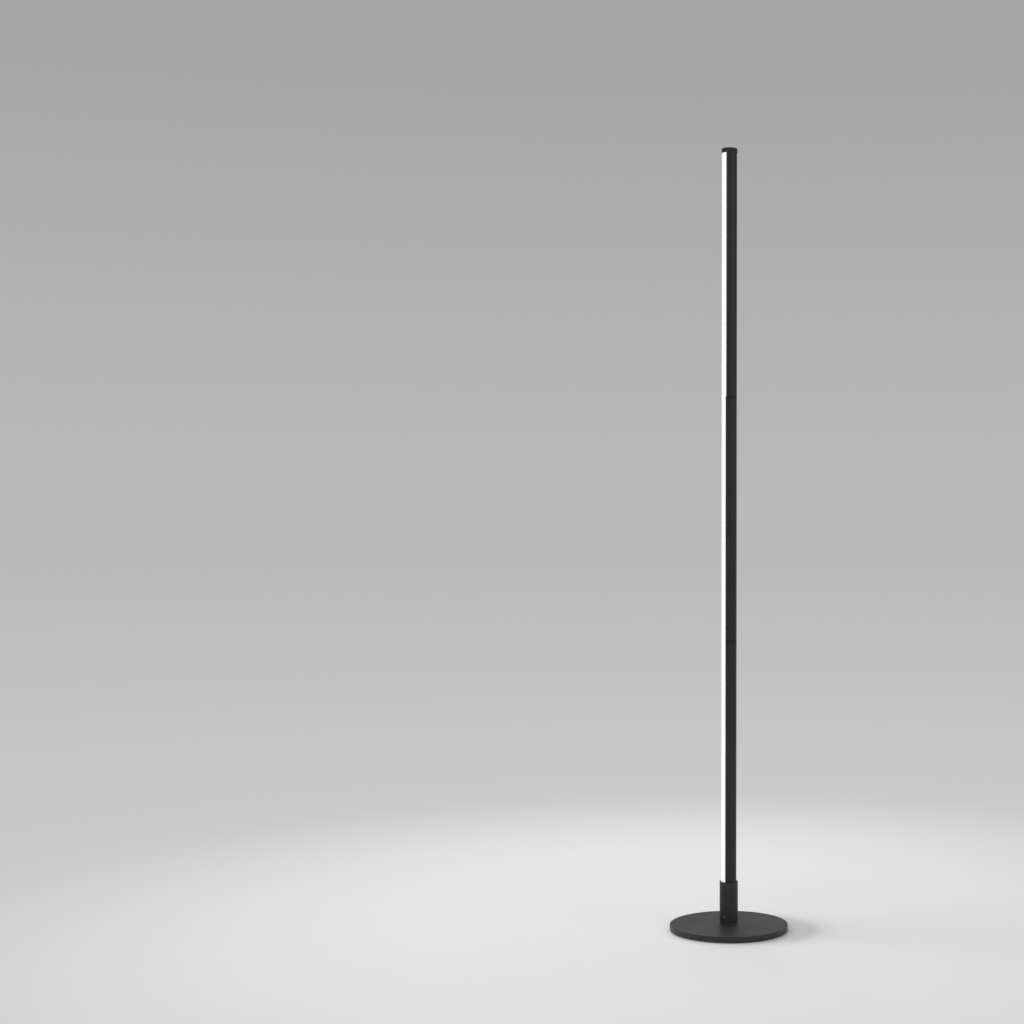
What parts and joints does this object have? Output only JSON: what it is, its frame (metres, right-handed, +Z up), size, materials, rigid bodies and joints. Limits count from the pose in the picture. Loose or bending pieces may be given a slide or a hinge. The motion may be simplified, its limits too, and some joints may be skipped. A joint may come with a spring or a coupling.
{
  "type": "led floor lamp",
  "caption": "Slim upright floor lamp: flat round base, short collar and a round pole of swivelling plug-together sections, each with a full-length light strip.",
  "frame": {"origin": "centre of the base's underside, on the floor", "axes": "+Z up along the pole; the lit face looks along -X and the picture's viewer stands on the -Y side"},
  "size_m": [0.211, 0.211, 1.4],
  "materials": {
    "base_paint": "satin black powder coat on steel",
    "collar_black": "satin black anodised, turned",
    "pole_black": "satin black anodised extrusion",
    "diffuser_opal": "opal polycarbonate, lit from behind",
    "moulded_black": "fine spark-eroded texture",
    "pad_rubber": "matt closed-cell rubber",
    "steel": "bright zinc and ground steel",
    "screw_black": "black oxide steel",
    "brass": "turned, bare",
    "nickel": "nickel plate",
    "strip_white": "white solder mask on an aluminium core",
    "led_phosphor": "clear resin over yellow phosphor",
    "board_green": "green solder mask on glass laminate",
    "component_black": "moulded resin",
    "lead_black": "flexible insulation",
    "nylon": "natural nylon"
  },
  "bodies": {
    "stand": {"base_plate": "base_paint", "base_pad": "pad_rubber", "base_washer": "steel", "base_bolt": "steel", "foot_ring": "collar_black", "collar": "collar_black", "grub_screw": "screw_black", "spigot_carrier": "moulded_black", "base_spigot": "steel", "base_contact_pin": "brass", "base_friction_washer": "nylon", "dc_jack": "moulded_black", "dc_jack_contact": "brass", "dc_jack_nut": "nickel", "control_board": "board_green", "board_components": "component_black", "switch_body": "moulded_black", "power_leads": "lead_black"},
    "switch_button": {"switch_button": "moulded_black", "switch_plunger": "nylon"},
    "lower_section": {"lower_profile": "pole_black", "lower_diffuser": "diffuser_opal", "lower_led_board": "strip_white", "lower_led_chips": "led_phosphor", "lower_socket_plug": "moulded_black", "lower_socket_sleeve": "brass", "lower_contact_socket": "brass", "lower_plug_screws": "screw_black", "lower_leads": "lead_black", "lower_spigot_plug": "moulded_black", "lower_spigot": "steel", "lower_contact_pin": "brass", "lower_friction_washer": "nylon"},
    "middle_section": {"middle_profile": "pole_black", "middle_diffuser": "diffuser_opal", "middle_led_board": "strip_white", "middle_led_chips": "led_phosphor", "middle_socket_plug": "moulded_black", "middle_socket_sleeve": "brass", "middle_contact_socket": "brass", "middle_plug_screws": "screw_black", "middle_leads": "lead_black", "middle_spigot_plug": "moulded_black", "middle_spigot": "steel", "middle_contact_pin": "brass", "middle_friction_washer": "nylon"},
    "upper_section": {"upper_profile": "pole_black", "upper_diffuser": "diffuser_opal", "upper_led_board": "strip_white", "upper_led_chips": "led_phosphor", "upper_socket_plug": "moulded_black", "upper_socket_sleeve": "brass", "upper_contact_socket": "brass", "upper_plug_screws": "screw_black", "upper_leads": "lead_black", "top_cap": "moulded_black", "cap_screws": "screw_black"}
  },
  "joints": [
    {"name": "button_press", "type": "slide", "parent": "stand", "child": "switch_button", "axis": [0.515, 0.8572, 0], "range_m": [0, 0.0012], "stiffness_N_per_m": 800, "springref_m": -0.0006},
    {"name": "lower_swivel", "type": "hinge", "parent": "stand", "child": "lower_section", "pos_m": [0, 0, 0.078], "axis": [0, 0, 1], "continuous": true},
    {"name": "middle_swivel", "type": "hinge", "parent": "lower_section", "child": "middle_section", "pos_m": [0, 0, 0.516], "axis": [0, 0, 1], "continuous": true},
    {"name": "upper_swivel", "type": "hinge", "parent": "middle_section", "child": "upper_section", "pos_m": [0, 0, 0.954], "axis": [0, 0, 1], "continuous": true}
  ]
}
